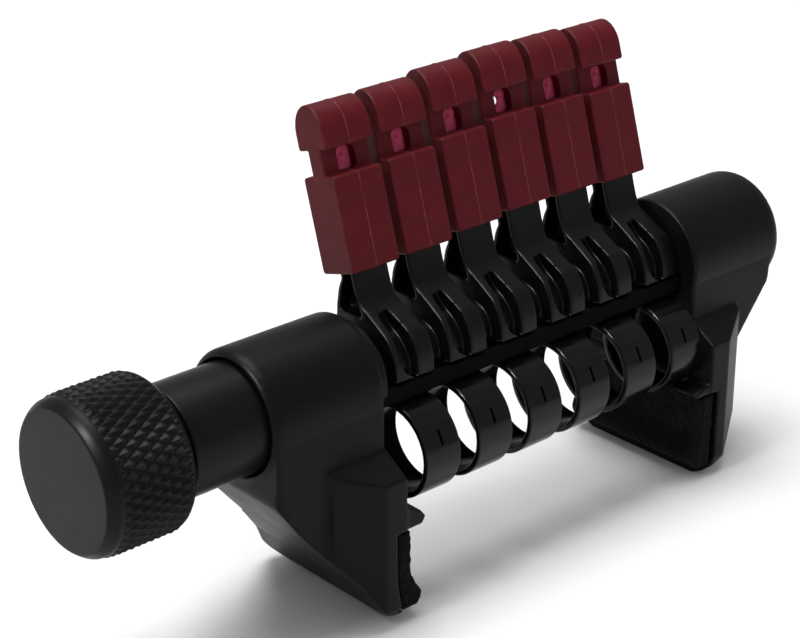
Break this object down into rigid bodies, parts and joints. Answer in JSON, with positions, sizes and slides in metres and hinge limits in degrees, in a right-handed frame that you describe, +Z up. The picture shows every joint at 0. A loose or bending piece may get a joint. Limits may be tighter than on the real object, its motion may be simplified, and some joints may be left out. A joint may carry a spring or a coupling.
{
  "type": "guitar capo",
  "caption": "Screw-clamped guitar capo with a row of hinged levers, each with a soft red head, over its own string band.",
  "frame": {"origin": "under the middle of the capo at rest, level with the lower ends of its two jaws", "axes": "+X along the clamp from the knob to the fixed jaw, across the guitar's neck; +Y along the strings, to the side the levers lean to; +Z up, away from the strings"},
  "size_m": [0.0982, 0.0214, 0.0528],
  "materials": {
    "anodised_aluminium": "black anodised, diamond knurled",
    "satin_black_coating": "satin black coating",
    "gloss_black_plastic": "glossy black",
    "black_nylon": "moulded, semi-gloss black",
    "red_rubber": "moulded, satin dark red",
    "black_pad": "rough, felt-like",
    "steel": "turned",
    "brass": "turned"
  },
  "bodies": {
    "bar": {"barrel": "satin_black_coating", "thrust_washer": "steel", "lever_shaft": "steel", "rail": "gloss_black_plastic", "band_1": "gloss_black_plastic", "band_2": "gloss_black_plastic", "band_3": "gloss_black_plastic", "band_4": "gloss_black_plastic", "band_5": "gloss_black_plastic", "band_6": "gloss_black_plastic", "right_jaw": "satin_black_coating", "right_pad": "black_pad", "end_screw": "steel"},
    "adjuster": {"knob": "anodised_aluminium", "spindle": "steel"},
    "clamp_jaw": {"left_jaw": "satin_black_coating", "left_pad": "black_pad", "spindle_nut": "brass", "drive_pin": "steel"},
    "finger_1": {"lever_1": "black_nylon"},
    "finger_2": {"lever_2": "black_nylon"},
    "finger_3": {"lever_3": "black_nylon"},
    "finger_4": {"lever_4": "black_nylon"},
    "finger_5": {"lever_5": "black_nylon"},
    "finger_6": {"lever_6": "black_nylon"},
    "tip_1": {"head_1": "red_rubber"},
    "tip_2": {"head_2": "red_rubber"},
    "tip_3": {"head_3": "red_rubber"},
    "tip_4": {"head_4": "red_rubber"},
    "tip_5": {"head_5": "red_rubber"},
    "tip_6": {"head_6": "red_rubber"}
  },
  "joints": [
    {"name": "knob_turn", "type": "hinge", "parent": "bar", "child": "adjuster", "pos_m": [-0.04, 0, 0.0253], "axis": [1, 0, 0], "range_deg": [-4274, 449]},
    {"name": "jaw_slide", "type": "slide", "parent": "bar", "child": "clamp_jaw", "axis": [1, 0, 0], "range_m": [-0.0095, 0.001]},
    {"name": "finger_1_flip", "type": "hinge", "parent": "bar", "child": "finger_1", "pos_m": [-0.00813, 0, 0.0253], "axis": [1, 0, 0], "range_deg": [-90, 0]},
    {"name": "finger_2_flip", "type": "hinge", "parent": "bar", "child": "finger_2", "pos_m": [-0.00047, 0, 0.0253], "axis": [1, 0, 0], "range_deg": [-90, 0]},
    {"name": "finger_3_flip", "type": "hinge", "parent": "bar", "child": "finger_3", "pos_m": [0.00717, 0, 0.0253], "axis": [1, 0, 0], "range_deg": [-90, 0]},
    {"name": "finger_4_flip", "type": "hinge", "parent": "bar", "child": "finger_4", "pos_m": [0.01482, 0, 0.0253], "axis": [1, 0, 0], "range_deg": [-90, 0]},
    {"name": "finger_5_flip", "type": "hinge", "parent": "bar", "child": "finger_5", "pos_m": [0.02247, 0, 0.0253], "axis": [1, 0, 0], "range_deg": [-90, 0]},
    {"name": "finger_6_flip", "type": "hinge", "parent": "bar", "child": "finger_6", "pos_m": [0.03012, 0, 0.0253], "axis": [1, 0, 0], "range_deg": [-90, 0]},
    {"name": "tip_1_lift", "type": "slide", "parent": "finger_1", "child": "tip_1", "axis": [0, 0.289, 0.9573], "range_m": [-0.0004, 0.0012]},
    {"name": "tip_2_lift", "type": "slide", "parent": "finger_2", "child": "tip_2", "axis": [0, 0.289, 0.9573], "range_m": [-0.0005, 0.0011]},
    {"name": "tip_3_lift", "type": "slide", "parent": "finger_3", "child": "tip_3", "axis": [0, 0.289, 0.9573], "range_m": [-0.001, 0.0006]},
    {"name": "tip_4_lift", "type": "slide", "parent": "finger_4", "child": "tip_4", "axis": [0, 0.289, 0.9573], "range_m": [-0.0014, 0.0002]},
    {"name": "tip_5_lift", "type": "slide", "parent": "finger_5", "child": "tip_5", "axis": [0, 0.289, 0.9573], "range_m": [-0.0012, 0.0004]},
    {"name": "tip_6_lift", "type": "slide", "parent": "finger_6", "child": "tip_6", "axis": [0, 0.289, 0.9573], "range_m": [-0.0009, 0.0007]}
  ],
  "couplings": [
    {"joint": "jaw_slide", "follows": "knob_turn", "m_per_rad": 0.00012732}
  ]
}
